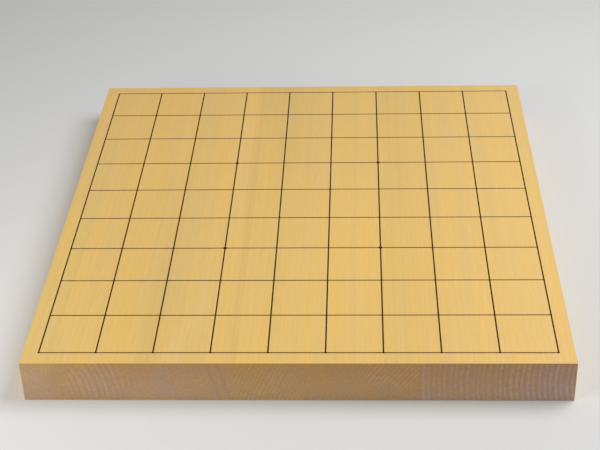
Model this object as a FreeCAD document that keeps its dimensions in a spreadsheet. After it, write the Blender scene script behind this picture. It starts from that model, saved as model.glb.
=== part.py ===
"""Table shogi board: a flat slab of three staves glued edge to edge, with a nine by nine grid of raised
lacquer lines and four star points laid on its top.

Frame: millimetres. The origin is the middle of the underside. +X runs across the files, +Y runs away from
the near player along the wood's grain, and +Z points up out of the playing face.
"""

import FreeCAD
import Part
import Sketcher
import glob
import os

# The grid's counts are fixed by the rules of the game, so they aren't sizes.
SQUARES = 9
LINES = SQUARES + 1
STAR_LINES = (3, 6)

# Driving dimensions: alias, value in millimetres, what it is.
SIZES = (
    ("left_stave_width", 126.0, "left stave, across the grain"),
    ("middle_stave_width", 111.3, "middle stave, across the grain"),
    ("right_stave_width", 92.5, "right stave, across the grain"),
    ("glue_thickness", 0.1, "cured glue film in each joint"),
    ("board_length", 360.0, "slab, along the grain"),
    ("board_thickness", 28.0, "slab, top to bottom"),
    ("arris", 0.5, "chamfer planed on every outer edge of the slab"),
    ("side_margin", 10.0, "slab's side to the middle of the outermost file line"),
    ("end_margin", 10.3, "slab's end to the middle of the outermost rank line"),
    ("line_width", 0.95, "lacquer line, at its foot"),
    ("line_shoulder", 0.2, "how far each flank of a line leans in"),
    ("line_height", 0.12, "file line, above the wood"),
    ("line_overrun", 0.15, "how far a line runs past the outer flank of the last line it meets"),
    ("crossing_cover", 0.06, "lacquer of a rank line over the file line that it crosses"),
    ("star_radius", 1.4, "star point"),
    ("star_cover", 0.08, "lacquer of a star point over the rank line"),
    ("star_bevel", 0.07, "chamfer round a star point's rim"),
)


def size(name):
    """The expression that reads one driving dimension."""
    return f"Sizes.{name}"


# Expressions for the sizes that follow from the driving ones.
BOARD_WIDTH = (f"({size('left_stave_width')} + {size('middle_stave_width')}"
               f" + {size('right_stave_width')} + 2 * {size('glue_thickness')})")
GRID_WIDTH = f"({BOARD_WIDTH} - 2 * {size('side_margin')})"
GRID_LENGTH = f"({size('board_length')} - 2 * {size('end_margin')})"
OVERRUN = f"({size('line_width')} / 2 + {size('line_overrun')})"
RANK_LINE_HEIGHT = f"({size('line_height')} + {size('crossing_cover')})"
STAR_HEIGHT = f"({RANK_LINE_HEIGHT} + {size('star_cover')})"


def make_sheet(doc):
    """Writes the driving dimensions into a spreadsheet, one aliased cell each."""
    sheet = doc.addObject("Spreadsheet::Sheet", "Sizes")
    for row, (alias, value, meaning) in enumerate(SIZES, start=1):
        sheet.set(f"A{row}", alias)
        sheet.set(f"B{row}", str(value))
        sheet.setAlias(f"B{row}", alias)
        sheet.set(f"C{row}", meaning)
    doc.recompute()
    return sheet


def make_body(doc, label, x="0", y="0", z="0"):
    """A body whose label names its file, standing at the place that the three expressions give."""
    body = doc.addObject("PartDesign::Body", label)
    body.Label = label
    for axis, place in (("x", x), ("y", y), ("z", z)):
        body.setExpression(f"Placement.Base.{axis}", place)
    return body


def origin_feature(body, role):
    """One of the body's own origin planes or axes."""
    return next(f for f in body.Origin.OriginFeatures if f.Role == role)


def make_sketch(body, name, plane):
    """An empty sketch on one of the body's origin planes."""
    sketch = body.newObject("Sketcher::SketchObject", name)
    sketch.AttachmentSupport = [(origin_feature(body, plane), "")]
    sketch.MapMode = "FlatFace"
    return sketch


def bind(sketch, name, constraint, expression):
    """Adds a named dimension to a sketch and ties it to an expression."""
    index = sketch.addConstraint(constraint)
    sketch.renameConstraint(index, name)
    sketch.setExpression(f"Constraints.{name}", expression)


def draw_outline(sketch, points):
    """Closed outline of straight lines through the points. Line i ends where line i + 1 starts."""
    count = len(points)
    for i in range(count):
        start = FreeCAD.Vector(*points[i], 0)
        end = FreeCAD.Vector(*points[(i + 1) % count], 0)
        sketch.addGeometry(Part.LineSegment(start, end), False)
    for i in range(count):
        sketch.addConstraint(Sketcher.Constraint("Coincident", i, 2, (i + 1) % count, 1))


def draw_box(sketch, width, height):
    """Rectangle from the sketch's origin, width along its X and height along its Y."""
    draw_outline(sketch, [(0, 0), (2, 0), (2, 1), (0, 1)])
    for side, direction in enumerate(("Horizontal", "Vertical", "Horizontal", "Vertical")):
        sketch.addConstraint(Sketcher.Constraint(direction, side))
    sketch.addConstraint(Sketcher.Constraint("Coincident", 0, 1, -1, 1))
    bind(sketch, "width", Sketcher.Constraint("DistanceX", 0, 1, 0, 2, 2), width)
    bind(sketch, "height", Sketcher.Constraint("DistanceY", 1, 1, 1, 2, 1), height)


def draw_bead(sketch, height, offset="0"):
    """Section of a lacquer line: a low trapezoid standing on the sketch's X axis.

    Its foot is centred at the offset along X, its flanks lean in, and its top is flat.
    """
    draw_outline(sketch, [(-2, 0), (2, 0), (1, 1), (-1, 1)])
    sketch.addConstraint(Sketcher.Constraint("Horizontal", 0))
    sketch.addConstraint(Sketcher.Constraint("Horizontal", 2))
    sketch.addConstraint(Sketcher.Constraint("PointOnObject", 0, 1, -1))
    foot = f"{offset} - {size('line_width')} / 2"
    bind(sketch, "foot", Sketcher.Constraint("DistanceX", -1, 1, 0, 1, -2), foot)
    bind(sketch, "width", Sketcher.Constraint("DistanceX", 0, 1, 0, 2, 4), size("line_width"))
    shoulder = size("line_shoulder")
    bind(sketch, "left_lean", Sketcher.Constraint("DistanceX", 0, 1, 2, 2, 1), shoulder)
    bind(sketch, "right_lean", Sketcher.Constraint("DistanceX", 2, 1, 0, 2, 1), shoulder)
    bind(sketch, "height", Sketcher.Constraint("DistanceY", 0, 2, 1, 2, 1), height)


def pad(body, name, sketch, length, symmetric=False):
    """Raises a sketch into a solid, to one side of its plane or half to each side."""
    feature = body.newObject("PartDesign::Pad", name)
    feature.Profile = sketch
    feature.SideType = "Symmetric" if symmetric else "One side"
    feature.setExpression("Length", length)
    sketch.Visibility = False
    return feature


def cut_through(body, name, sketch):
    """Cuts a sketch through the whole body, to both sides of its plane."""
    feature = body.newObject("PartDesign::Pocket", name)
    feature.Profile = sketch
    feature.SideType = "Symmetric"
    feature.Type = "ThroughAll"
    sketch.Visibility = False
    return feature


def chamfer(body, name, base, edges, width):
    """Chamfers the named edges of a feature."""
    feature = body.newObject("PartDesign::Chamfer", name)
    feature.Base = (base, edges)
    feature.setExpression("Size", width)
    return feature


def planed_edges(shape, glued_faces):
    """Names of a slab piece's edges that the plane reaches: all but those on its glued faces."""
    tolerance = 1e-6
    names = []
    for number, edge in enumerate(shape.Edges, start=1):
        ends = [vertex.X for vertex in edge.Vertexes]
        buried = [all(abs(x - face) < tolerance for x in ends) for face in glued_faces]
        if not any(buried):
            names.append(f"Edge{number}")
    return names


def make_slab_piece(doc, label, width, left_side, glued_left, glued_right):
    """A stave or a glue film: a full-length, full-thickness slice of the slab.

    left_side is the place of its left face, and each face that is glued stays without a chamfer.
    """
    body = make_body(doc, label, x=left_side, y=f"-{size('board_length')} / 2")
    sketch = make_sketch(body, f"{label}_section", "XY_Plane")
    draw_box(sketch, width, size("board_length"))
    block = pad(body, f"{label}_block", sketch, size("board_thickness"))
    doc.recompute()
    box = block.Shape.BoundBox
    glued = [box.XMin] * glued_left + [box.XMax] * glued_right
    chamfer(body, f"{label}_arris", block, planed_edges(block.Shape, glued), size("arris"))
    return body


def make_slab(doc):
    """The three staves and the two glue films between them, from left to right."""
    left_side = f"-{BOARD_WIDTH} / 2"
    pieces = []
    for label, width, glued_left, glued_right in (
        ("left_stave", size("left_stave_width"), False, True),
        ("left_glue_line", size("glue_thickness"), True, True),
        ("middle_stave", size("middle_stave_width"), True, True),
        ("right_glue_line", size("glue_thickness"), True, True),
        ("right_stave", size("right_stave_width"), True, False),
    ):
        pieces.append(make_slab_piece(doc, label, width, left_side, glued_left, glued_right))
        left_side = f"{left_side} + {width}"
    return pieces


def line_place(number, span):
    """Where one of the grid's lines lies across its span, which is centred on the board."""
    return f"{span} * ({number} / {SQUARES} - 0.5)"


def make_file_line(doc, number):
    """A line between two files. It is laid first, straight on the wood, and runs along Y."""
    label = f"file_line_{number + 1}"
    body = make_body(doc, label, x=line_place(number, GRID_WIDTH), z=size("board_thickness"))
    sketch = make_sketch(body, f"{label}_bead", "XZ_Plane")
    draw_bead(sketch, size("line_height"))
    pad(body, f"{label}_run", sketch, f"{GRID_LENGTH} + 2 * {OVERRUN}", symmetric=True)
    return body


def make_rank_line(doc, number):
    """A line between two ranks. It is laid second, runs along X, and bridges every file line."""
    label = f"rank_line_{number + 1}"
    body = make_body(doc, label, y=line_place(number, GRID_LENGTH), z=size("board_thickness"))
    bead = make_sketch(body, f"{label}_bead", "YZ_Plane")
    draw_bead(bead, RANK_LINE_HEIGHT)
    pad(body, f"{label}_run", bead, f"{GRID_WIDTH} + 2 * {OVERRUN}", symmetric=True)
    saddle = make_sketch(body, f"{label}_saddle", "XZ_Plane")
    draw_bead(saddle, size("line_height"), offset=line_place(0, GRID_WIDTH))
    crossing = cut_through(body, f"{label}_crossing", saddle)
    crossings = body.newObject("PartDesign::LinearPattern", f"{label}_crossings")
    crossings.Originals = [crossing]
    crossings.Direction = (origin_feature(body, "X_Axis"), [""])
    crossings.setExpression("Length", GRID_WIDTH)
    crossings.Occurrences = LINES
    body.Tip = crossings
    return body


def make_star_point(doc, number, file_number, rank_number):
    """A round dab of lacquer over a crossing. It is laid last, over both of the lines below it."""
    label = f"star_point_{number}"
    body = make_body(doc, label, x=line_place(file_number, GRID_WIDTH),
                     y=line_place(rank_number, GRID_LENGTH), z=size("board_thickness"))
    rim = make_sketch(body, f"{label}_rim", "XY_Plane")
    rim.addGeometry(Part.Circle(FreeCAD.Vector(0, 0, 0), FreeCAD.Vector(0, 0, 1), 1), False)
    rim.addConstraint(Sketcher.Constraint("Coincident", 0, 3, -1, 1))
    bind(rim, "radius", Sketcher.Constraint("Radius", 0, 1), size("star_radius"))
    dab = pad(body, f"{label}_dab", rim, STAR_HEIGHT)
    doc.recompute()
    top = dab.Shape.BoundBox.ZMax
    rim_edges = [f"Edge{i}" for i, edge in enumerate(dab.Shape.Edges, start=1)
                 if edge.BoundBox.ZMin > top / 2]
    chamfer(body, f"{label}_bevel", dab, rim_edges, size("star_bevel"))
    for line, plane, height in (
        ("file_line", "XZ_Plane", size("line_height")),
        ("rank_line", "YZ_Plane", RANK_LINE_HEIGHT),
    ):
        saddle = make_sketch(body, f"{label}_{line}_saddle", plane)
        draw_bead(saddle, height)
        cut_through(body, f"{label}_{line}_crossing", saddle)
    return body


def make_grid(doc):
    """The file lines, the rank lines over them, and the star points over both."""
    pieces = [make_file_line(doc, number) for number in range(LINES)]
    pieces += [make_rank_line(doc, number) for number in range(LINES)]
    star_crossings = [(file, rank) for rank in STAR_LINES for file in STAR_LINES]
    for number, (file_number, rank_number) in enumerate(star_crossings, start=1):
        pieces.append(make_star_point(doc, number, file_number, rank_number))
    return pieces


def check_features(doc):
    """Stops if a feature failed, or if a cut took nothing away."""
    for thing in doc.Objects:
        if "Invalid" in thing.State or "Error" in thing.State:
            raise RuntimeError(f"{thing.Name} did not build: {thing.State}")
        if thing.TypeId in ("PartDesign::Pocket", "PartDesign::LinearPattern", "PartDesign::Chamfer"):
            if thing.Shape.Volume >= thing.BaseFeature.Shape.Volume:
                raise RuntimeError(f"{thing.Name} cut nothing away")


def check_pieces(pieces):
    """Stops if a piece is not one valid solid."""
    for piece in pieces:
        shape = piece.Shape
        if shape.isNull() or not shape.isValid() or len(shape.Solids) != 1:
            raise RuntimeError(f"{piece.Label} is not one valid solid")


def write_pieces(pieces):
    """Writes each piece to a STEP file named after it."""
    os.makedirs("parts", exist_ok=True)
    for old in glob.glob("parts/*.step"):
        os.remove(old)
    for piece in pieces:
        piece.Shape.exportStep(f"parts/{piece.Label}.step")
        box = piece.Shape.BoundBox
        print(f"{piece.Label}: {box.XLength:.2f} x {box.YLength:.2f} x {box.ZLength:.2f} mm,"
              f" {piece.Shape.Volume:.2f} mm3")


doc = FreeCAD.newDocument("ShogiBoard")
make_sheet(doc)
pieces = make_slab(doc) + make_grid(doc)
doc.recompute()
check_features(doc)
check_pieces(pieces)
write_pieces(pieces)
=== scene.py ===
"""Dresses the table shogi board: a slab of three honey-coloured staves, glued edge to edge, planed and waxed,
with a grid of raised black lacquer lines and four star points on its playing face.

Shapes are in metres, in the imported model's frame: the origin is the middle of the underside, +X runs across
the files, +Y runs along the wood's grain away from the near player, and +Z points up. Inside the materials,
lengths are in millimetres from the same origin.
"""

import math

import bpy
from mathutils import Matrix, Vector, noise


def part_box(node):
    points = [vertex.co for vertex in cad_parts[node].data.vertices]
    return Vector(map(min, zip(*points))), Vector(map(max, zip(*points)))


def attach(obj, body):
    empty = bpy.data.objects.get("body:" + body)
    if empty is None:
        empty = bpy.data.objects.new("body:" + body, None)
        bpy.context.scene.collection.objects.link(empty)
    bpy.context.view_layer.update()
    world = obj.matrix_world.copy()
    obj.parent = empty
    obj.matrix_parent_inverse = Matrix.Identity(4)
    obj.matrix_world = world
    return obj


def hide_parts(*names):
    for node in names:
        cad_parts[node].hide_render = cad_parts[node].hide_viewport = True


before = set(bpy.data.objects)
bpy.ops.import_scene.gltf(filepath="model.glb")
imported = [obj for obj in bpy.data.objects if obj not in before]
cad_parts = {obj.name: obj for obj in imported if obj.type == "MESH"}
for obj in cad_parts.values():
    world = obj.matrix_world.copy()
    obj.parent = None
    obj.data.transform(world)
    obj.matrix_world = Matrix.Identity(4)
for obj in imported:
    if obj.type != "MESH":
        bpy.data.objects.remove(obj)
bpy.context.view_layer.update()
MM = 0.001

# ---------------------------------------------------------------------------------------------------------
# Left stave. Cut close beside the heart of its tree, where water had left a long grey streak and a short
# brown one along the grain. It is planed by hand and waxed, and its outer edges are eased with two or three
# strokes of the plane. Its rings curve about a pith just past the slab's lower left edge.
# ---------------------------------------------------------------------------------------------------------

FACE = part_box("middle_stave")[1].z
ARRIS_RADIUS = 0.35 * MM
ARRIS_UNEVENNESS = 0.22
ARRIS_WAVE = 35 * MM
ARRIS_SEED = Vector((0, 0, 3))
ARRIS_STEPS = 4
SPANS = (12 * MM, 9 * MM, 9 * MM)
SLAB_CREASE = 40
TOLERANCE = 1e-9


def uneven_share(seed, unevenness):
    """A share between 1 less the unevenness and 1, which changes smoothly with the seed."""
    return 1 - unevenness * (0.5 + 0.5 * noise.noise(seed))


def stations(low, high, span, eased_low, eased_high):
    """Places of the mesh's cuts along one axis: even spans, and extra cuts within each eased edge."""
    angles = [math.radians(45 * (1 - step / ARRIS_STEPS)) for step in range(ARRIS_STEPS)]
    depths = [ARRIS_RADIUS * (1 - math.tan(angle)) for angle in angles]
    first = low + ARRIS_RADIUS if eased_low else low
    last = high - ARRIS_RADIUS if eased_high else high
    count = max(1, round((last - first) / span))
    cuts = [first + (last - first) * number / count for number in range(count + 1)]
    if eased_low:
        cuts = [low + depth for depth in depths] + cuts
    if eased_high:
        cuts += [high - depth for depth in reversed(depths)]
    return cuts


def eased_point(point, low, high, eased):
    """Moves a point of a box's skin onto the box with its outer edges rounded over a little unevenly."""
    radius = ARRIS_RADIUS * uneven_share(point / ARRIS_WAVE + ARRIS_SEED, ARRIS_UNEVENNESS)
    outward = Vector()
    centre = Vector(point)
    for axis in range(3):
        if eased[axis][0] and point[axis] < low[axis] + ARRIS_RADIUS - TOLERANCE:
            outward[axis] = point[axis] - low[axis] - ARRIS_RADIUS
            centre[axis] = low[axis] + radius
        if eased[axis][1] and point[axis] > high[axis] - ARRIS_RADIUS + TOLERANCE:
            outward[axis] = point[axis] - high[axis] + ARRIS_RADIUS
            centre[axis] = high[axis] - radius
    if outward.length == 0:
        return point
    return centre + outward.normalized() * radius


def eased_side(last, axis, end):
    """Loops of a side whose edges are eased: small faces, each a list of its corners' cut numbers."""
    u, v = (axis + 1) % 3, (axis + 2) % 3
    loops = []
    for i in range(last[u]):
        for j in range(last[v]):
            loop = []
            for step_u, step_v in ((0, 0), (1, 0), (1, 1), (0, 1)):
                corner = [0, 0, 0]
                corner[axis] = end * last[axis]
                corner[u] = i + step_u
                corner[v] = j + step_v
                loop.append(tuple(corner))
            loops.append(loop)
    return loops


def glued_side(last, end):
    """Loops of a side that is glued to the next piece: one flat face, through all the cuts round its rim."""
    x = end * last[0]
    loop = [(x, j, 0) for j in range(last[1])]
    loop += [(x, last[1], k) for k in range(last[2])]
    loop += [(x, j, last[2]) for j in range(last[1], 0, -1)]
    loop += [(x, 0, k) for k in range(last[2], 0, -1)]
    return [loop]


def turned_over(faces):
    """The same faces, seen from their other side."""
    return [face[::-1] for face in faces]


def add_piece(name, points, faces, crease):
    """Adds a mesh object, shaded smooth except where it turns by more than the crease, in degrees."""
    mesh = bpy.data.meshes.new(name)
    mesh.from_pydata(points, [], faces)
    mesh.validate()
    mesh.shade_smooth()
    mesh.set_sharp_from_angle(angle=math.radians(crease))
    piece = bpy.data.objects.new(name, mesh)
    bpy.context.scene.collection.objects.link(piece)
    return piece


def slab_slice(name, node, eased_left, eased_right):
    """One full-length slice of the slab, in its CAD node's box. Its glued sides stay flat and sharp, and its
    corner normals are weighted by face area, so that only the eased edges turn the light."""
    low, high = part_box(node)
    eased = ((eased_left, eased_right), (True, True), (True, True))
    cuts = [stations(low[axis], high[axis], SPANS[axis], *eased[axis]) for axis in range(3)]
    last = [len(places) - 1 for places in cuts]
    loops = []
    for axis in range(3):
        for end in (0, 1):
            side = eased_side(last, axis, end) if eased[axis][end] else glued_side(last, end)
            loops += side if end else turned_over(side)
    numbers = {}
    for loop in loops:
        for corner in loop:
            numbers.setdefault(corner, len(numbers))
    points = []
    for corner in numbers:
        place = Vector(cuts[axis][corner[axis]] for axis in range(3))
        points.append(eased_point(place, low, high, eased))
    piece = add_piece(name, points, [[numbers[corner] for corner in loop] for loop in loops], SLAB_CREASE)
    piece.modifiers.new("flat faces", "WEIGHTED_NORMAL").keep_sharp = True
    return piece


def new_material(name):
    """Starts a material. Returns it with its node tree and its Principled shader."""
    material = bpy.data.materials.new(name)
    material.use_nodes = True
    return material, material.node_tree, material.node_tree.nodes["Principled BSDF"]


def add_node(tree, kind, sockets, **settings):
    """Adds a node with its settings. Each socket gets a plain value, or a link from another node's output."""
    node = tree.nodes.new(kind)
    for setting, value in settings.items():
        setattr(node, setting, value)
    for key, value in sockets.items():
        if isinstance(value, bpy.types.NodeSocket):
            tree.links.new(value, node.inputs[key])
        else:
            node.inputs[key].default_value = value
    return node


def maths(tree, operation, *operands):
    """One step of arithmetic on values."""
    return add_node(tree, "ShaderNodeMath", dict(enumerate(operands)), operation=operation).outputs[0]


def centred(tree, value):
    """Takes a half off a value from 0 to 1, so that it lies about 0."""
    return maths(tree, "SUBTRACT", value, 0.5)


def vary(tree, value, contrast, about=1.0):
    """Scales a value from 0 to 1 by the contrast, and sets it about a middle that may vary too."""
    return maths(tree, "MULTIPLY_ADD", centred(tree, value), contrast, about)


def ramp(tree, value, low, high, floor=0.0, ceiling=1.0):
    """Smooth step: floor below low, ceiling above high."""
    sockets = {0: value, 1: low, 2: high, 3: floor, 4: ceiling}
    return add_node(tree, "ShaderNodeMapRange", sockets, interpolation_type="SMOOTHSTEP").outputs[0]


def blend_colours(tree, share, first, second):
    """Mixes two colours: the first at a share of 0, the second at 1."""
    sockets = {0: share, 6: first, 7: second}
    return add_node(tree, "ShaderNodeMix", sockets, data_type="RGBA").outputs[2]


def stain_by(tree, share, colour, stain):
    """Multiplies a colour by a stain's colour, by the given share."""
    sockets = {0: share, 6: colour, 7: stain}
    return add_node(tree, "ShaderNodeMix", sockets, data_type="RGBA", blend_type="MULTIPLY").outputs[2]


def tint(tree, colour, shade):
    """Scales a colour by a value that lies about 1."""
    return add_node(tree, "ShaderNodeVectorMath", {0: colour, 3: shade}, operation="SCALE").outputs[0]


def millimetres(tree, position):
    """The X, Y and Z of a position, in millimetres."""
    scaled = add_node(tree, "ShaderNodeVectorMath", {0: position, 3: 1 / MM}, operation="SCALE").outputs[0]
    return add_node(tree, "ShaderNodeSeparateXYZ", {0: scaled}).outputs


CLOUD_ROUGHNESS = 0.55


def cloud(tree, x, y, z, lengths, detail=2.0):
    """Soft noise from 0 to 1 whose patches have the given lengths along X, Y and Z."""
    parts = [maths(tree, "DIVIDE", part, length) for part, length in zip((x, y, z), lengths)]
    place = add_node(tree, "ShaderNodeCombineXYZ", dict(enumerate(parts))).outputs[0]
    sockets = {"Vector": place, "Scale": 1.0, "Detail": detail, "Roughness": CLOUD_ROUGHNESS}
    return add_node(tree, "ShaderNodeTexNoise", sockets).outputs[0]


def new_group(name, inputs, outputs):
    """Starts a shader node group. Returns it with its input sockets and its output sockets, by name."""
    group = bpy.data.node_groups.new(name, "ShaderNodeTree")
    for label, kind in inputs.items():
        group.interface.new_socket(label, in_out="INPUT", socket_type=f"NodeSocket{kind}")
    for label, kind in outputs.items():
        group.interface.new_socket(label, in_out="OUTPUT", socket_type=f"NodeSocket{kind}")
    return group, group.nodes.new("NodeGroupInput").outputs, group.nodes.new("NodeGroupOutput").inputs


def use_group(tree, group, sockets):
    """Places a node group in a material."""
    return add_node(tree, "ShaderNodeGroup", sockets, node_tree=group).outputs


SLOW_WANDER = (22, 240, 22)
QUICK_WANDER = (3.5, 80, 3.5)
QUICK_WANDER_SHARE = 0.3
LUCK_PER_YEAR = 0.45
LUCK_SPREAD = 0.55
AUTUMN_STARTS = (0.22, 0.55)
AUTUMN_STOPS = (0.70, 0.98)
FAINTEST_YEAR = 0.65


def make_growth_rings():
    """Group: the year rings about a pith that runs along Y, which may lie outside the stave. Each year is a
    little wider or narrower, and stronger or fainter, than the next."""
    group, given, result = new_group(
        "growth rings",
        {"Position": "Vector", "Pith Across": "Float", "Pith Height": "Float", "Drift": "Float",
         "Ring Width": "Float", "Wobble": "Float"},
        {"Late Wood": "Float", "Ring Tone": "Float"})
    x, y, z = millimetres(group, given["Position"])
    across = maths(group, "SUBTRACT", x, maths(group, "MULTIPLY", y, given["Drift"]))
    sideways = maths(group, "SUBTRACT", across, given["Pith Across"])
    height = maths(group, "SUBTRACT", z, given["Pith Height"])
    squares = maths(group, "MULTIPLY_ADD", sideways, sideways, maths(group, "MULTIPLY", height, height))
    slow = centred(group, cloud(group, across, y, z, SLOW_WANDER))
    wander = vary(group, cloud(group, across, y, z, QUICK_WANDER), QUICK_WANDER_SHARE, about=slow)
    radius = maths(group, "MULTIPLY_ADD", wander, given["Wobble"], maths(group, "SQRT", squares))
    years = maths(group, "DIVIDE", radius, given["Ring Width"])
    luck = add_node(group, "ShaderNodeTexNoise", {"W": years, "Scale": LUCK_PER_YEAR, "Detail": 1.0},
                    noise_dimensions="1D").outputs[0]
    years = maths(group, "MULTIPLY_ADD", luck, LUCK_SPREAD, years)
    season = maths(group, "FRACT", years)
    autumn = maths(group, "MULTIPLY", ramp(group, season, *AUTUMN_STARTS),
                   ramp(group, season, *AUTUMN_STOPS, floor=1.0, ceiling=0.0))
    tone = add_node(group, "ShaderNodeTexWhiteNoise", {"W": maths(group, "FLOOR", years)},
                    noise_dimensions="1D").outputs[0]
    strength = maths(group, "MULTIPLY_ADD", tone, 1 - FAINTEST_YEAR, FAINTEST_YEAR)
    group.links.new(maths(group, "MULTIPLY", autumn, strength), result["Late Wood"])
    group.links.new(tone, result["Ring Tone"])
    return group


FIBRE_PATCH = (0.7, 15, 0.7)
BAND_PATCH = (11, 330, 11)
HUE_PATCH = (13, 130, 13)
HUE_AWAY = 400.0


def make_wood_fibre():
    """Group: the fine straight fibres, the broad bands of light and dark along the grain, and the slow drift
    of the wood's hue."""
    group, given, result = new_group(
        "wood fibre", {"Position": "Vector", "Drift": "Float"},
        {"Fibre": "Float", "Band": "Float", "Hue": "Float"})
    x, y, z = millimetres(group, given["Position"])
    across = maths(group, "SUBTRACT", x, maths(group, "MULTIPLY", y, given["Drift"]))
    group.links.new(cloud(group, across, y, z, FIBRE_PATCH, detail=3.0), result["Fibre"])
    group.links.new(cloud(group, across, y, z, BAND_PATCH), result["Band"])
    elsewhere = maths(group, "ADD", across, HUE_AWAY)
    group.links.new(cloud(group, elsewhere, y, z, HUE_PATCH), result["Hue"])
    return group


END_TURN = (0.45, 0.9)
SPECKLE_PATCH = (1.0, 3.0, 1.8)
MOTTLE_PATCH = (3.2, 9, 3.2)
BLUSH_PATCH = (4.5, 9, 5)
BLUSH_AWAY = 700.0
BLUSH_TURN = (0.32, 0.68)
CLEAN_PATCH = (6, 9, 4.5)
CLEAN_TURN = (0.36, 0.60)
LEAST_CLEAN = 0.45
MOST_CLEAN = 1.2
# The cut ends turn lighter and bluer towards the bottom, which is painted bounce light from below, and more
# ochre in a strip just under the top edge.
DEPTH_STRAY_PATCH = (1.5, 9, 9)
BOUNCE_EDGE_STRAY = 4.0
PAINTED_BOUNCE_DEPTHS = (3.0, 24.0)
STRIP_STRAY = 0.8
STRIP_DEPTHS = (1.4, 3.1)


def make_cut_ends():
    """Group: where the fibres are cut across, on the slab's two ends, the speckle of their open tips, the
    mottled patches where the saw tore them and blurred the rings, and the blush of the sap in them. Their
    tone is more ochre near the top, most of all in a strip just under the edge, and lighter and bluer towards
    the bottom, which is painted bounce light from below."""
    group, given, result = new_group(
        "cut ends", {"Position": "Vector", "Normal": "Vector"},
        {"End": "Float", "Speckle": "Float", "Mottle": "Float", "Blush": "Float", "Clean": "Float",
         "Above Painted Bounce": "Float", "Ochre Strip": "Float"})
    along = add_node(group, "ShaderNodeSeparateXYZ", {0: given["Normal"]}).outputs[1]
    group.links.new(ramp(group, maths(group, "ABSOLUTE", along), *END_TURN), result["End"])
    x, y, z = millimetres(group, given["Position"])
    group.links.new(cloud(group, x, y, z, SPECKLE_PATCH, detail=4.0), result["Speckle"])
    group.links.new(cloud(group, x, y, z, MOTTLE_PATCH, detail=3.0), result["Mottle"])
    elsewhere = maths(group, "ADD", x, BLUSH_AWAY)
    group.links.new(ramp(group, cloud(group, elsewhere, y, z, BLUSH_PATCH), *BLUSH_TURN), result["Blush"])
    clean = cloud(group, x, y, z, CLEAN_PATCH)
    group.links.new(ramp(group, clean, *CLEAN_TURN, LEAST_CLEAN, MOST_CLEAN), result["Clean"])
    depth = maths(group, "SUBTRACT", FACE / MM, z)
    stray = centred(group, cloud(group, x, y, z, DEPTH_STRAY_PATCH))
    above_bounce = maths(group, "MULTIPLY_ADD", stray, BOUNCE_EDGE_STRAY, depth)
    group.links.new(ramp(group, above_bounce, *PAINTED_BOUNCE_DEPTHS, floor=1.0, ceiling=0.0), result["Above Painted Bounce"])
    strip = maths(group, "MULTIPLY_ADD", stray, STRIP_STRAY, depth)
    group.links.new(ramp(group, strip, *STRIP_DEPTHS, floor=1.0, ceiling=0.0), result["Ochre Strip"])
    return group


STAIN_STRAY_PATCH = (9, 70, 9)
STAIN_STRAY = 0.7
STAIN_EDGE = (0.35, 1.15)
STAIN_FADE = 40.0
STAIN_PATCH = (4, 90, 4)
STAIN_PATCH_TURN = (0.3, 0.7)
LEAST_STAIN = 0.7


def make_stain_band():
    """Group: a soft-edged stain that runs along the grain. It lies at one place at the near end and at
    another at the far end, moves over from the one to the other between two places along the grain, leans as
    it goes down into the wood, and fades out at both ends of the stretch that it covers."""
    group, given, result = new_group(
        "stain band",
        {"Position": "Vector", "Near Across": "Float", "Far Across": "Float", "Bends From": "Float",
         "Bends To": "Float", "Lean": "Float", "Half Width": "Float", "Starts": "Float", "Stops": "Float"},
        {"Stain": "Float"})
    x, y, z = millimetres(group, given["Position"])
    share = ramp(group, y, given["Bends From"], given["Bends To"])
    shift = maths(group, "SUBTRACT", given["Far Across"], given["Near Across"])
    middle = maths(group, "MULTIPLY_ADD", share, shift, given["Near Across"])
    depth = maths(group, "SUBTRACT", FACE / MM, z)
    middle = maths(group, "MULTIPLY_ADD", depth, given["Lean"], middle)
    stray = maths(group, "MULTIPLY", given["Half Width"], STAIN_STRAY)
    middle = vary(group, cloud(group, x, y, z, STAIN_STRAY_PATCH), stray, about=middle)
    away = maths(group, "ABSOLUTE", maths(group, "SUBTRACT", x, middle))
    away = maths(group, "DIVIDE", away, given["Half Width"])
    inside = ramp(group, away, *STAIN_EDGE, floor=1.0, ceiling=0.0)
    started = ramp(group, y, given["Starts"], maths(group, "ADD", given["Starts"], STAIN_FADE))
    fades = maths(group, "SUBTRACT", given["Stops"], STAIN_FADE)
    stopped = ramp(group, y, fades, given["Stops"], floor=1.0, ceiling=0.0)
    patchy = ramp(group, cloud(group, x, y, z, STAIN_PATCH), *STAIN_PATCH_TURN, floor=LEAST_STAIN)
    mask = maths(group, "MULTIPLY", maths(group, "MULTIPLY", inside, patchy),
                 maths(group, "MULTIPLY", started, stopped))
    group.links.new(mask, result["Stain"])
    return group


OVAL_EDGE = (0.6, 1.05)


def make_oval_patch():
    """Group: a soft-edged oval patch of a cut end, where the saw left the rings clear or a blotch lies."""
    group, given, result = new_group(
        "oval patch",
        {"Position": "Vector", "Across": "Float", "Height": "Float", "Half Width": "Float",
         "Half Height": "Float"},
        {"Patch": "Float"})
    x, y, z = millimetres(group, given["Position"])
    sideways = maths(group, "DIVIDE", maths(group, "SUBTRACT", x, given["Across"]), given["Half Width"])
    upward = maths(group, "DIVIDE", maths(group, "SUBTRACT", z, given["Height"]), given["Half Height"])
    squares = maths(group, "MULTIPLY_ADD", sideways, sideways, maths(group, "MULTIPLY", upward, upward))
    away = maths(group, "SQRT", squares)
    group.links.new(ramp(group, away, *OVAL_EDGE, floor=1.0, ceiling=0.0), result["Patch"])
    return group


growth_rings = make_growth_rings()
wood_fibre = make_wood_fibre()
cut_ends = make_cut_ends()
stain_band = make_stain_band()
oval_patch = make_oval_patch()

HALF_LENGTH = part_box("left_stave")[1].y / MM
WELL_PAST_END = HALF_LENGTH + 2 * STAIN_FADE


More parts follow.
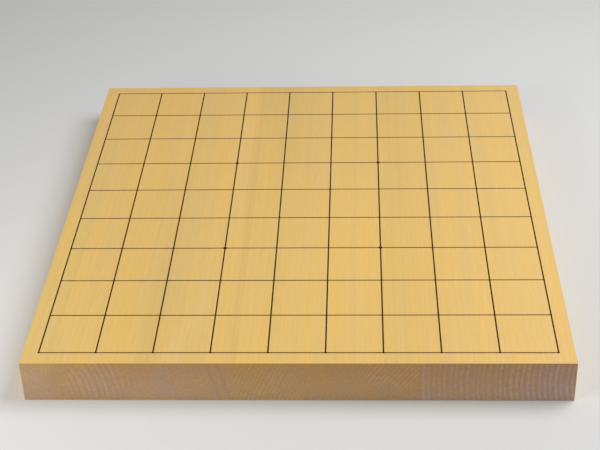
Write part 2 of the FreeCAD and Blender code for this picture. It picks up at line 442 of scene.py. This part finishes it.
def stain(colour, near, far, half_width, lean=0.0, starts=-WELL_PAST_END, stops=WELL_PAST_END,
          bends_from=-HALF_LENGTH, bends_to=HALF_LENGTH):
    """A stain band's settings, with its colour. Unless told otherwise, it covers the board's whole length."""
    band = {"Near Across": near, "Far Across": far, "Bends From": bends_from, "Bends To": bends_to,
            "Lean": lean, "Half Width": half_width, "Starts": starts, "Stops": stops}
    return band, colour


def oval(across, height, half_width, half_height):
    """An oval patch's settings."""
    return {"Across": across, "Height": height, "Half Width": half_width, "Half Height": half_height}


def stain_in_bands(tree, position, colour, stains):
    """Lays the stains over a colour, one after another."""
    for band, stain_colour in stains:
        share = use_group(tree, stain_band, {"Position": position, **band})["Stain"]
        colour = stain_by(tree, share, colour, stain_colour)
    return colour


RING_SHADE_ON_FACE = 0.13
FIBRE_CONTRAST = 0.16
BAND_CONTRAST = 0.10
YEAR_CONTRAST = 0.03
CAST_TURN = (-170.0, 170.0)


def face_colour(tree, position, ring, fibre, face):
    """Colour of the planed faces: soft rings, bands and stains, and a cast that changes slowly from the near
    end to the far end."""
    late_wood = maths(tree, "MULTIPLY", ring["Late Wood"], RING_SHADE_ON_FACE)
    colour = blend_colours(tree, late_wood, face["light"], face["dark"])
    shade = vary(tree, fibre["Fibre"], FIBRE_CONTRAST)
    shade = vary(tree, fibre["Band"], BAND_CONTRAST, about=shade)
    shade = vary(tree, ring["Ring Tone"], YEAR_CONTRAST, about=shade)
    colour = stain_in_bands(tree, position, tint(tree, colour, shade), face["stains"])
    along = millimetres(tree, position)[1]
    cast = blend_colours(tree, ramp(tree, along, *CAST_TURN), face["near_cast"], face["far_cast"])
    return stain_by(tree, 1.0, colour, cast)


SPECKLE_CONTRAST = 0.60
MOTTLE_CONTRAST = 0.10
ROSY_CAST = (1.022, 0.986, 1.01, 1)
GREENISH_CAST = (0.978, 1.012, 0.985, 1)
# Cut ends: more ochre near the top, and lighter and bluer towards the bottom, which is painted bounce light
# from below.
UPPER_OCHRE = (0.975, 0.925, 0.78, 1)
PAINTED_BOUNCE_GREY = (1.03, 1.06, 1.10, 1)
STRIP_OCHRE = (1.04, 0.965, 0.64, 1)


def end_colour(tree, position, ring, cut, end):
    """Colour of the cut ends. Their rings are faint, but clearer in the clear patches, each of which has its
    strength, and their late wood is painted lighter and bluer, a painted sheen. Blotches of another colour
    lie over them, and over all a tone that is more ochre near the top and lighter and bluer towards the
    bottom, where painted bounce light lies."""
    clearness = end["faint_rings"]
    for patch, strength in end["clear_patches"]:
        mask = use_group(tree, oval_patch, {"Position": position, **patch})["Patch"]
        clearness = maths(tree, "MULTIPLY_ADD", mask, strength, clearness)
    late_wood = maths(tree, "MULTIPLY", ring["Late Wood"], maths(tree, "MULTIPLY", clearness, cut["Clean"]))
    colour = blend_colours(tree, late_wood, end["ground"], end["line"])
    shade = vary(tree, cut["Speckle"], SPECKLE_CONTRAST)
    shade = vary(tree, cut["Mottle"], MOTTLE_CONTRAST, about=shade)
    colour = stain_in_bands(tree, position, tint(tree, colour, shade), end["stains"])
    for blotch, blotch_colour in end["blotches"]:
        mask = use_group(tree, oval_patch, {"Position": position, **blotch})["Patch"]
        colour = stain_by(tree, mask, colour, blotch_colour)
    colour = stain_by(tree, 1.0, colour, blend_colours(tree, cut["Blush"], GREENISH_CAST, ROSY_CAST))
    # Painted bounce light: lighter and bluer towards the bottom of each cut end.
    colour = stain_by(tree, 1.0, colour, blend_colours(tree, cut["Above Painted Bounce"], PAINTED_BOUNCE_GREY, UPPER_OCHRE))
    return stain_by(tree, cut["Ochre Strip"], colour, STRIP_OCHRE)


CAST_ON_FACE = 0.60
WARM_CAST = (1.028, 1.0, 0.89, 1)
COOL_CAST = (0.967, 0.997, 1.135, 1)
HUE_TURN = (0.3, 0.7)


def drifting_hue(tree, colour, fibre, cut):
    """Turns a colour slowly from warm to cool and back. On the cut ends the turns are quicker and
    stronger."""
    mottle = maths(tree, "MULTIPLY", centred(tree, cut["Mottle"]), cut["End"])
    coolness = ramp(tree, maths(tree, "ADD", fibre["Hue"], mottle), *HUE_TURN)
    share = maths(tree, "MULTIPLY_ADD", cut["End"], 1 - CAST_ON_FACE, CAST_ON_FACE)
    return stain_by(tree, share, colour, blend_colours(tree, coolness, WARM_CAST, COOL_CAST))


WAXED_ROUGHNESS = 0.46
END_ROUGHNESS = 0.62
LATE_WOOD_POLISH = 0.08
FIBRE_ROUGHNESS_SPREAD = 0.10


def waxed_roughness(tree, ring, fibre, cut):
    """Roughness: the hard late wood takes a better polish, and the cut ends stay duller."""
    roughness = maths(tree, "MULTIPLY_ADD", ring["Late Wood"], -LATE_WOOD_POLISH, WAXED_ROUGHNESS)
    roughness = vary(tree, fibre["Fibre"], FIBRE_ROUGHNESS_SPREAD, about=roughness)
    return maths(tree, "MULTIPLY_ADD", cut["End"], END_ROUGHNESS - WAXED_ROUGHNESS, roughness)


LATE_WOOD_RELIEF = 0.6
SPECKLE_RELIEF = 1.2
WOOD_BUMP = {"Strength": 0.35, "Distance": 0.03 * MM}


def wood_relief(tree, ring, fibre, cut):
    """Normals: the fibres and the proud late wood, and the open tips of the fibres on the cut ends."""
    height = maths(tree, "MULTIPLY_ADD", ring["Late Wood"], LATE_WOOD_RELIEF, fibre["Fibre"])
    speckle = maths(tree, "MULTIPLY", cut["Speckle"], cut["End"])
    height = maths(tree, "MULTIPLY_ADD", speckle, SPECKLE_RELIEF, height)
    return add_node(tree, "ShaderNodeBump", {"Height": height, **WOOD_BUMP}).outputs[0]


def planed_wood(name, rings, face, end):
    """Material of one stave: solid wood, so that its rings meet at every edge. rings places the year rings,
    and face and end hold the colours and marks of its planed faces and of its two cut ends."""
    material, tree, shader = new_material(name)
    place = add_node(tree, "ShaderNodeTexCoord", {}).outputs
    position = place["Object"]
    ring = use_group(tree, growth_rings, {"Position": position, **rings})
    fibre = use_group(tree, wood_fibre, {"Position": position, "Drift": rings["Drift"]})
    cut = use_group(tree, cut_ends, {"Position": position, "Normal": place["Normal"]})
    colour = blend_colours(tree, cut["End"], face_colour(tree, position, ring, fibre, face),
                           end_colour(tree, position, ring, cut, end))
    tree.links.new(drifting_hue(tree, colour, fibre, cut), shader.inputs["Base Color"])
    tree.links.new(waxed_roughness(tree, ring, fibre, cut), shader.inputs["Roughness"])
    tree.links.new(wood_relief(tree, ring, fibre, cut), shader.inputs["Normal"])
    return material


HONEY = (0.754, 0.492, 0.150, 1)
HONEY_LATE_WOOD = (0.640, 0.390, 0.105, 1)
LEFT_NEAR_CAST = (0.985, 0.99, 0.965, 1)
LEFT_FAR_CAST = (1.03, 1.015, 1.0, 1)
PALE_EDGE = (0.995, 1.02, 1.05, 1)
AMBER_BAND = (1.012, 1.004, 0.955, 1)
BROWN_STREAK = (0.955, 0.965, 0.945, 1)
GREY_STREAK = (0.938, 0.972, 1.06, 1)
BLUE_BLOTCH = (0.995, 1.035, 1.15, 1)
PALE_STRIP = (1.032, 1.032, 1.055, 1)
JOINT_SHADE = (0.950, 0.955, 0.980, 1)
END_ROSE = (0.424, 0.258, 0.133, 1)
# The ring lines on the cut ends are drawn lighter and bluer than their ground: a painted sheen on the late
# wood.
END_LILAC_SHEEN = (0.472, 0.292, 0.192, 1)
PALE_SIDE = (1.0, 1.045, 1.13, 1)
ROSE_SHADE = (0.955, 0.965, 0.93, 1)
VIOLET_VEIN = (0.875, 0.885, 1.16, 1)
PALE_CORNER = (1.06, 1.12, 1.08, 1)
STRAW_EDGE = (1.035, 1.055, 0.88, 1)
BROWN_FOOT = (0.970, 0.955, 0.87, 1)
OCHRE_BLOTCH = (1.04, 1.01, 0.82, 1)

left_stave = slab_slice("stave_left", "left_stave", eased_left=True, eased_right=False)
left_stave.data.materials.append(planed_wood(
    "left stave wood",
    rings={"Pith Across": -181.0, "Pith Height": -0.6, "Drift": 0.012, "Ring Width": 3.6, "Wobble": 1.7},
    face={
        "light": HONEY,
        "dark": HONEY_LATE_WOOD,
        "near_cast": LEFT_NEAR_CAST,
        "far_cast": LEFT_FAR_CAST,
        "stains": (
            stain(PALE_EDGE, near=-152.0, far=-152.0, half_width=10.0),
            stain(AMBER_BAND, near=-114.0, far=-112.0, half_width=15.0),
            stain(BROWN_STREAK, near=-92.0, far=-101.0, half_width=7.0, stops=60.0),
            stain(GREY_STREAK, near=-82.0, far=-74.0, half_width=10.5, starts=-150.0),
            stain(BLUE_BLOTCH, near=-75.0, far=-63.0, half_width=8.0, stops=-70.0, bends_from=-185.0,
                  bends_to=-120.0),
            stain(PALE_STRIP, near=-48.0, far=-45.5, half_width=5.5),
            stain(JOINT_SHADE, near=-38.3, far=-41.1, half_width=2.1),
        ),
    },
    end={
        "ground": END_ROSE,
        "line": END_LILAC_SHEEN,
        "faint_rings": 0.10,
        "clear_patches": (
            (oval(across=-121.0, height=17.0, half_width=22.0, half_height=17.0), 1.15),
        ),
        "stains": (
            stain(PALE_SIDE, near=-161.0, far=-161.0, half_width=16.0),
            stain(ROSE_SHADE, near=-121.0, far=-121.0, half_width=28.0),
            stain(VIOLET_VEIN, near=-53.7, far=-52.0, half_width=1.5, lean=0.28),
            stain(VIOLET_VEIN, near=-47.3, far=-46.0, half_width=1.5, lean=0.26),
        ),
        "blotches": (
            (oval(across=-166.0, height=28.0, half_width=26.0, half_height=17.0), PALE_CORNER),
            (oval(across=-137.0, height=27.0, half_width=22.0, half_height=10.0), STRAW_EDGE),
            (oval(across=-137.0, height=2.0, half_width=34.0, half_height=11.0), BROWN_FOOT),
            (oval(across=-50.0, height=7.0, half_width=13.0, half_height=16.0), OCHRE_BLOTCH),
        ),
    }))
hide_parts("left_stave")
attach(left_stave, "root")

# ---------------------------------------------------------------------------------------------------------
# Middle stave. Cut from the other side of a tree, so its finer rings lean the other way. Glued on both
# sides, and planed, eased and waxed with the rest after gluing. The glue darkened it along its left side.
# ---------------------------------------------------------------------------------------------------------

MIDDLE_NEAR_CAST = (1.025, 1.02, 0.975, 1)
MIDDLE_FAR_CAST = (0.97, 0.98, 1.0, 1)
GREEN_CAST = (0.978, 0.988, 0.990, 1)
BROWN_CAST = (0.985, 0.990, 0.980, 1)
AMBER_CAST = (1.028, 1.012, 0.970, 1)
WARM_SIDE = (1.0, 0.997, 0.955, 1)
GLUED_SHADE = (0.940, 0.945, 0.965, 1)
GLUED_NEAR = (0.965, 0.960, 0.965, 1)
END_BROWN = (0.434, 0.256, 0.105, 1)
# The ring lines on the cut ends are drawn lighter and bluer than their ground: a painted sheen on the late
# wood.
END_PALE_BROWN_SHEEN = (0.490, 0.297, 0.130, 1)
OCHRE_CAST = (0.98, 1.0, 0.90, 1)

middle_stave = slab_slice("stave_middle", "middle_stave", eased_left=False, eased_right=False)
middle_stave.data.materials.append(planed_wood(
    "middle stave wood",
    rings={"Pith Across": 194.0, "Pith Height": -84.0, "Drift": 0.004, "Ring Width": 2.45, "Wobble": 1.2},
    face={
        "light": HONEY,
        "dark": HONEY_LATE_WOOD,
        "near_cast": MIDDLE_NEAR_CAST,
        "far_cast": MIDDLE_FAR_CAST,
        "stains": (
            stain(GREEN_CAST, near=-14.0, far=-14.0, half_width=10.0, starts=40.0),
            stain(GREEN_CAST, near=-16.0, far=-14.0, half_width=11.0, starts=-200.0, stops=-50.0),
            stain(WARM_SIDE, near=-25.0, far=-25.0, half_width=15.0),
            stain(BROWN_CAST, near=59.0, far=61.0, half_width=10.0),
            stain(AMBER_CAST, near=34.0, far=36.0, half_width=16.0),
            stain(GLUED_SHADE, near=-37.2, far=-38.4, half_width=3.0),
            stain(GLUED_NEAR, near=-37.6, far=-37.6, half_width=2.4, stops=60.0),
        ),
    },
    end={
        "ground": END_BROWN,
        "line": END_PALE_BROWN_SHEEN,
        "faint_rings": 0.22,
        "clear_patches": (
            (oval(across=-21.0, height=12.0, half_width=25.0, half_height=24.0), 0.62),
            (oval(across=60.0, height=26.0, half_width=26.0, half_height=19.0), 1.05),
        ),
        "stains": (
            stain(OCHRE_CAST, near=-19.0, far=-19.0, half_width=24.0),
        ),
        "blotches": (),
    }))
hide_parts("middle_stave")
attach(middle_stave, "root")

# ---------------------------------------------------------------------------------------------------------
# Right stave. The palest of the three, glued to the middle one and finished with it. Its rings stand almost
# upright and curve about a pith some way past the slab's right side.
# ---------------------------------------------------------------------------------------------------------

PALE_HONEY = (0.764, 0.496, 0.158, 1)
PALE_LATE_WOOD = (0.660, 0.410, 0.122, 1)
RIGHT_NEAR_CAST = (1.03, 1.02, 0.970, 1)
RIGHT_FAR_CAST = (0.975, 0.99, 0.990, 1)
SAP_PALE = (1.035, 1.045, 1.10, 1)
GLUED_SIDE = (0.968, 0.973, 0.985, 1)
END_ASH_BROWN = (0.416, 0.246, 0.131, 1)
# The ring lines on the cut ends are drawn lighter and bluer than their ground: a painted sheen on the late
# wood.
END_ASH_SHEEN = (0.484, 0.312, 0.208, 1)
# Painted blue reflection over the right part of the right stave's cut end.
END_BLUE_REFLECTION = (0.965, 1.005, 1.29, 1)
PALE_FOOT = (1.02, 1.05, 1.07, 1)

right_stave = slab_slice("stave_right", "right_stave", eased_left=False, eased_right=True)
right_stave.data.materials.append(planed_wood(
    "right stave wood",
    rings={"Pith Across": 215.0, "Pith Height": 15.0, "Drift": -0.004, "Ring Width": 3.25, "Wobble": 1.0},
    face={
        "light": PALE_HONEY,
        "dark": PALE_LATE_WOOD,
        "near_cast": RIGHT_NEAR_CAST,
        "far_cast": RIGHT_FAR_CAST,
        "stains": (
            stain(SAP_PALE, near=176.0, far=176.0, half_width=80.0),
            stain(GLUED_SIDE, near=75.2, far=75.2, half_width=5.5),
        ),
    },
    end={
        "ground": END_ASH_BROWN,
        "line": END_ASH_SHEEN,
        "faint_rings": 0.62,
        "clear_patches": (
            (oval(across=150.0, height=14.0, half_width=38.0, half_height=42.0), 0.42),
        ),
        "stains": (
            # Painted blue reflection, not a stain in the wood.
            stain(END_BLUE_REFLECTION, near=160.0, far=160.0, half_width=32.0),
        ),
        "blotches": (
            (oval(across=112.0, height=0.0, half_width=52.0, half_height=11.0), PALE_FOOT),
        ),
    }))
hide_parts("right_stave")
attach(right_stave, "root")

# ---------------------------------------------------------------------------------------------------------
# Glue lines. Cured amber wood glue in the two joints. It was squeezed thin between the staves when they were
# clamped, and planed flush with them.
# ---------------------------------------------------------------------------------------------------------

GLUE_AMBER = (0.64, 0.41, 0.130, 1)
GLUE_ON_END = (0.39, 0.235, 0.100, 1)
GLUE_MOTTLING = 0.3
GLUE_TURN = (0.2, 0.8)
GLUE_ROUGHNESS = (0.4, 0.6)


def make_cured_glue():
    """Material: mottled amber glue, browner where it is cut with the ends of the staves."""
    material, tree, shader = new_material("cured glue")
    place = add_node(tree, "ShaderNodeTexCoord", {}).outputs
    cut = use_group(tree, cut_ends, {"Position": place["Object"], "Normal": place["Normal"]})
    colour = blend_colours(tree, cut["End"], GLUE_AMBER, GLUE_ON_END)
    colour = tint(tree, colour, vary(tree, cut["Mottle"], GLUE_MOTTLING))
    tree.links.new(colour, shader.inputs["Base Color"])
    roughness = ramp(tree, cut["Mottle"], *GLUE_TURN, *GLUE_ROUGHNESS)
    tree.links.new(roughness, shader.inputs["Roughness"])
    return material


cured_glue = make_cured_glue()

for side in ("left", "right"):
    glue_line = slab_slice(f"glue_{side}", f"{side}_glue_line", eased_left=False, eased_right=False)
    glue_line.data.materials.append(cured_glue)
    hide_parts(f"{side}_glue_line")
    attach(glue_line, "root")

# ---------------------------------------------------------------------------------------------------------
# File lines. Ten beads of thick black lacquer, laid along the grain first. Each is pressed on wet from the
# edge of a long blade, so it is straight, domed, and only a little uneven in width and height.
# ---------------------------------------------------------------------------------------------------------

BEAD_SOAK = 0.02 * MM
BEAD_FACETS = 10
BEAD_FULLNESS = 0.75
BEAD_STEP = 3.5 * MM
BEAD_END_ROUND = 0.22 * MM
BEAD_END_CUTS = (0.05, 0.25, 0.6, 1.0)
BEAD_END_LEAST = 0.1
BEAD_CREASE = 50
CROSSING_CUTS = (-1.6, -1.2, -0.9, -0.7, -0.5, -0.3, 0.0, 0.3, 0.5, 0.7, 0.9, 1.2, 1.6)
CROSSING_CLEAR = 1.9 * MM
CROSSING_SPREAD = 0.40
CROSSING_REACH = 0.8 * MM
HUMP_REACH = 0.55 * MM
BEAD_WAVE = 16 * MM
WIDTH_UNEVENNESS = 0.015
HEIGHT_UNEVENNESS = 0.10
BEAD_STRAY = 0.005 * MM
SET_SEED = 5.0
HEIGHT_SEED = Vector((0, 0, 9))
STRAY_SEED = Vector((0, 0, 17))


def bead_profile(width, crest):
    """Section of a bead, from its left foot over its crown to its right foot and back under the wood."""
    outline = []
    for step in range(BEAD_FACETS + 1):
        angle = math.pi * (1 - step / BEAD_FACETS)
        outline.append((math.cos(angle) * width / 2, crest * math.sin(angle) ** BEAD_FULLNESS))
    outline.append((width / 2, -BEAD_SOAK))
    outline.append((-width / 2, -BEAD_SOAK))
    return outline


def bead_stations(low, high, crossings):
    """Places along a bead where it gets a section: close together at its round ends and its crossings."""
    places = {low, high}
    for share in BEAD_END_CUTS:
        places |= {low + BEAD_END_ROUND * share, high - BEAD_END_ROUND * share}
    for crossing in crossings:
        places |= {crossing + cut * MM for cut in CROSSING_CUTS}
    marks = [low + BEAD_END_ROUND, *crossings, high - BEAD_END_ROUND]
    for start, stop in zip(marks, marks[1:]):
        count = max(1, round((stop - start) / BEAD_STEP))
        for number in range(1, count):
            place = start + (stop - start) * number / count
            if all(abs(place - crossing) > CROSSING_CLEAR for crossing in crossings):
                places.add(place)
    return sorted(place for place in places if low <= place <= high)


def skin_faces(rows, ring):
    """Faces of a closed skin over rows of points, each a ring of as many points, with a cap at either end."""
    faces = []
    for row in range(rows - 1):
        for step in range(ring):
            following = (step + 1) % ring
            faces.append([row * ring + step, row * ring + following, (row + 1) * ring + following,
                          (row + 1) * ring + step])
    faces.append([step for step in reversed(range(ring))])
    faces.append([(rows - 1) * ring + step for step in range(ring)])
    return faces


def lacquer_bead(name, node, along, crest, width_share, crossings=(), hump=0.0):
    """One drawn line. along is the axis that it runs on, and width_share is its mean width as a share of the
    node's. hump is how much it rises at each crossing to pass over the line below it, where the wet lacquer
    also spreads a little."""
    low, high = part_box(node)
    across = 1 - along
    middle = (low[across] + high[across]) / 2
    width = high[across] - low[across]
    places = bead_stations(low[along], high[along], crossings)
    points = []
    for place in places:
        seed = Vector((place / BEAD_WAVE, middle / MM, along * SET_SEED))
        end_gap = min(place - low[along], high[along] - place)
        tuck = math.sqrt(max(BEAD_END_LEAST, 1 - max(0.0, 1 - end_gap / BEAD_END_ROUND) ** 2))
        rise = sum(hump * math.exp(-((place - crossing) / HUMP_REACH) ** 4) for crossing in crossings)
        spread = sum(CROSSING_SPREAD * math.exp(-((place - crossing) / CROSSING_REACH) ** 2)
                     for crossing in crossings)
        local_width = width * (width_share + WIDTH_UNEVENNESS * noise.noise(seed) + spread) * tuck
        local_crest = crest * uneven_share(seed + HEIGHT_SEED, HEIGHT_UNEVENNESS) * tuck
        stray = BEAD_STRAY * noise.noise(seed + STRAY_SEED)
        for offset, height in bead_profile(local_width, local_crest + rise):
            point = [0.0, 0.0, FACE + height]
            point[along] = place
            point[across] = middle + offset + stray
            points.append(point)
    faces = skin_faces(len(places), len(points) // len(places))
    return add_piece(name, points, faces if along else turned_over(faces), BEAD_CREASE)


LACQUER_BLACK = (0.050, 0.016, 0.008, 1)
LACQUER_BROWN = (0.115, 0.038, 0.014, 1)
LACQUER_DEEP = 0.06
LACQUER_PATCH = (6, 6, 6)
BLACK_TURN = (0.1, 0.5)
LEAST_BLACK = 0.7
LACQUER_SPECULAR = 0.06
LACQUER_TURN = (0.25, 0.75)
LACQUER_ROUGHNESS = (0.36, 0.50)
RIPPLE_PATCH = (0.5, 0.5, 0.5)
LACQUER_BUMP = {"Strength": 0.25, "Distance": 0.02 * MM}


def make_black_lacquer():
    """Material: refined tree lacquer, black where it is thick and warm brown where it thins out."""
    material, tree, shader = new_material("black lacquer")
    place = add_node(tree, "ShaderNodeTexCoord", {}).outputs
    x, y, z = millimetres(tree, place["Object"])
    thickness = ramp(tree, z, FACE / MM, FACE / MM + LACQUER_DEEP)
    patches = cloud(tree, x, y, z, LACQUER_PATCH)
    blackness = maths(tree, "MULTIPLY", thickness, ramp(tree, patches, *BLACK_TURN, floor=LEAST_BLACK))
    colour = blend_colours(tree, blackness, LACQUER_BROWN, LACQUER_BLACK)
    tree.links.new(colour, shader.inputs["Base Color"])
    shader.inputs["Specular IOR Level"].default_value = LACQUER_SPECULAR
    roughness = ramp(tree, patches, *LACQUER_TURN, *LACQUER_ROUGHNESS)
    tree.links.new(roughness, shader.inputs["Roughness"])
    ripple = cloud(tree, x, y, z, RIPPLE_PATCH)
    bump = add_node(tree, "ShaderNodeBump", {"Height": ripple, **LACQUER_BUMP})
    tree.links.new(bump.outputs[0], shader.inputs["Normal"])
    return material


black_lacquer = make_black_lacquer()
LINE_COUNT = 10
FILE_CREST = 0.08 * MM
FILE_WIDTH_SHARE = 1.0

for number in range(1, LINE_COUNT + 1):
    node = f"file_line_{number}"
    bead = lacquer_bead(f"file_bead_{number}", node, along=1, crest=FILE_CREST, width_share=FILE_WIDTH_SHARE)
    bead.data.materials.append(black_lacquer)
    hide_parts(node)
    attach(bead, "root")

# ---------------------------------------------------------------------------------------------------------
# Rank lines. Ten more beads, laid a little finer across the grain once the first ten have cured. Each rises
# in a small hump wherever it passes over a file line.
# ---------------------------------------------------------------------------------------------------------

RANK_CREST = 0.065 * MM
RANK_WIDTH_SHARE = 0.945
CROSSING_HUMP = 0.055 * MM

file_boxes = [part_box(f"file_line_{number}") for number in range(1, LINE_COUNT + 1)]
file_places = [(low.x + high.x) / 2 for low, high in file_boxes]

for number in range(1, LINE_COUNT + 1):
    node = f"rank_line_{number}"
    bead = lacquer_bead(f"rank_bead_{number}", node, along=0, crest=RANK_CREST, width_share=RANK_WIDTH_SHARE,
                        crossings=file_places, hump=CROSSING_HUMP)
    bead.data.materials.append(black_lacquer)
    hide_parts(node)
    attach(bead, "root")

# ---------------------------------------------------------------------------------------------------------
# Star points. Four dabs of the same lacquer, dropped last onto the crossings three squares in from each
# corner. They mark the corners of the middle nine squares, and where the two camps end.
# ---------------------------------------------------------------------------------------------------------

STAR_COUNT = 4
STAR_SEGMENTS = 40
STAR_RINGS = 7
STAR_FULLNESS = 0.8
STAR_CROWN = 0.03
STAR_UNEVENNESS = 0.04


def lacquer_dab(name, node):
    """One drop: a low dome with a round, slightly uneven rim."""
    low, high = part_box(node)
    middle = (low + high) / 2
    radius = (high.x - low.x) / 2
    crest = high.z - FACE
    levels = [(1.0, -BEAD_SOAK)]
    for ring in range(STAR_RINGS + 1):
        angle = math.pi / 2 * ring / STAR_RINGS
        levels.append((max(STAR_CROWN, math.cos(angle)), crest * math.sin(angle) ** STAR_FULLNESS))
    points = []
    for reach, height in levels:
        for step in range(STAR_SEGMENTS):
            turn = 2 * math.pi * step / STAR_SEGMENTS
            seed = Vector((math.cos(turn), math.sin(turn), middle.x / MM + middle.y / MM))
            out = radius * uneven_share(seed, STAR_UNEVENNESS) * reach
            points.append((middle.x + out * math.cos(turn), middle.y + out * math.sin(turn), FACE + height))
    return add_piece(name, points, skin_faces(len(levels), STAR_SEGMENTS), BEAD_CREASE)


for number in range(1, STAR_COUNT + 1):
    node = f"star_point_{number}"
    dab = lacquer_dab(f"star_dab_{number}", node)
    dab.data.materials.append(black_lacquer)
    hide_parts(node)
    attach(dab, "root")

# ---------------------------------------------------------------------------------------------------------
# Stage. A plain pale table top under an even pale surround. A large soft lamp stands high on the right, and
# a small one low on the near left, with a grid that keeps its light together.
# ---------------------------------------------------------------------------------------------------------

FLOOR_REACH = 6.0
FLOOR_GREY = (0.70, 0.70, 0.69, 1)
FLOOR_ROUGHNESS = 0.8
SURROUND = (1.0, 1.0, 1.0, 1)
SURROUND_STRENGTH = 0.36
LAMP_AIM = Vector((0, 0, 28)) * MM
NO_GRID = 180
FILL_GRID = 120

floor_corners = [(x * FLOOR_REACH, y * FLOOR_REACH, 0) for x, y in ((-1, -1), (1, -1), (1, 1), (-1, 1))]
floor_mesh = bpy.data.meshes.new("table_top")
floor_mesh.from_pydata(floor_corners, [], [(0, 1, 2, 3)])
floor = bpy.data.objects.new("table_top", floor_mesh)
bpy.context.scene.collection.objects.link(floor)
floor_paint, _, floor_shader = new_material("pale table top")
floor_shader.inputs["Base Color"].default_value = FLOOR_GREY
floor_shader.inputs["Roughness"].default_value = FLOOR_ROUGHNESS
floor.data.materials.append(floor_paint)

world = bpy.data.worlds.new("soft surround")
world.use_nodes = True
world.node_tree.nodes["Background"].inputs["Color"].default_value = SURROUND
world.node_tree.nodes["Background"].inputs["Strength"].default_value = SURROUND_STRENGTH
bpy.context.scene.world = world


def softbox(name, place, size, power, spread):
    """A square lamp that faces the board. Its grid keeps the light within the spread, in degrees."""
    light = bpy.data.lights.new(name, "AREA")
    light.shape = "SQUARE"
    light.size = size
    light.energy = power
    light.spread = math.radians(spread)
    lamp = bpy.data.objects.new(name, light)
    lamp.location = place
    lamp.rotation_euler = (LAMP_AIM - Vector(place)).to_track_quat("-Z", "Y").to_euler()
    lamp.visible_camera = False
    bpy.context.scene.collection.objects.link(lamp)


softbox("key", place=(0.50, 0.04, 0.85), size=0.6, power=6.45, spread=NO_GRID)
softbox("near left fill", place=(-0.51, -0.435, 0.25), size=0.35, power=1.02, spread=FILL_GRID)

# ---------------------------------------------------------------------------------------------------------
# Camera. It stands in front of the near player's side, a little to the right, and looks down at the board
# through a long lens. It leans over by nearly two degrees.
# ---------------------------------------------------------------------------------------------------------

CAMERA_AIM = Vector((-2.66, -28.29, 28.0)) * MM
CAMERA_DISTANCE = 939.17 * MM
CAMERA_TURN = math.radians(-2.837)
CAMERA_DIP = math.radians(32.481)
CAMERA_ROLL = math.radians(-1.745)
CAMERA_LENS = 82.654

looking = Vector((math.sin(CAMERA_TURN) * math.cos(CAMERA_DIP),
                  math.cos(CAMERA_TURN) * math.cos(CAMERA_DIP),
                  -math.sin(CAMERA_DIP)))
lens = bpy.data.cameras.new("camera")
lens.lens = CAMERA_LENS
camera = bpy.data.objects.new("camera", lens)
upright = looking.to_track_quat("-Z", "Y").to_matrix()
camera.rotation_euler = (upright @ Matrix.Rotation(CAMERA_ROLL, 3, "Z")).to_euler()
camera.location = CAMERA_AIM - looking * CAMERA_DISTANCE
bpy.context.scene.collection.objects.link(camera)
bpy.context.scene.camera = camera
bpy.context.scene.view_settings.view_transform = "Standard"
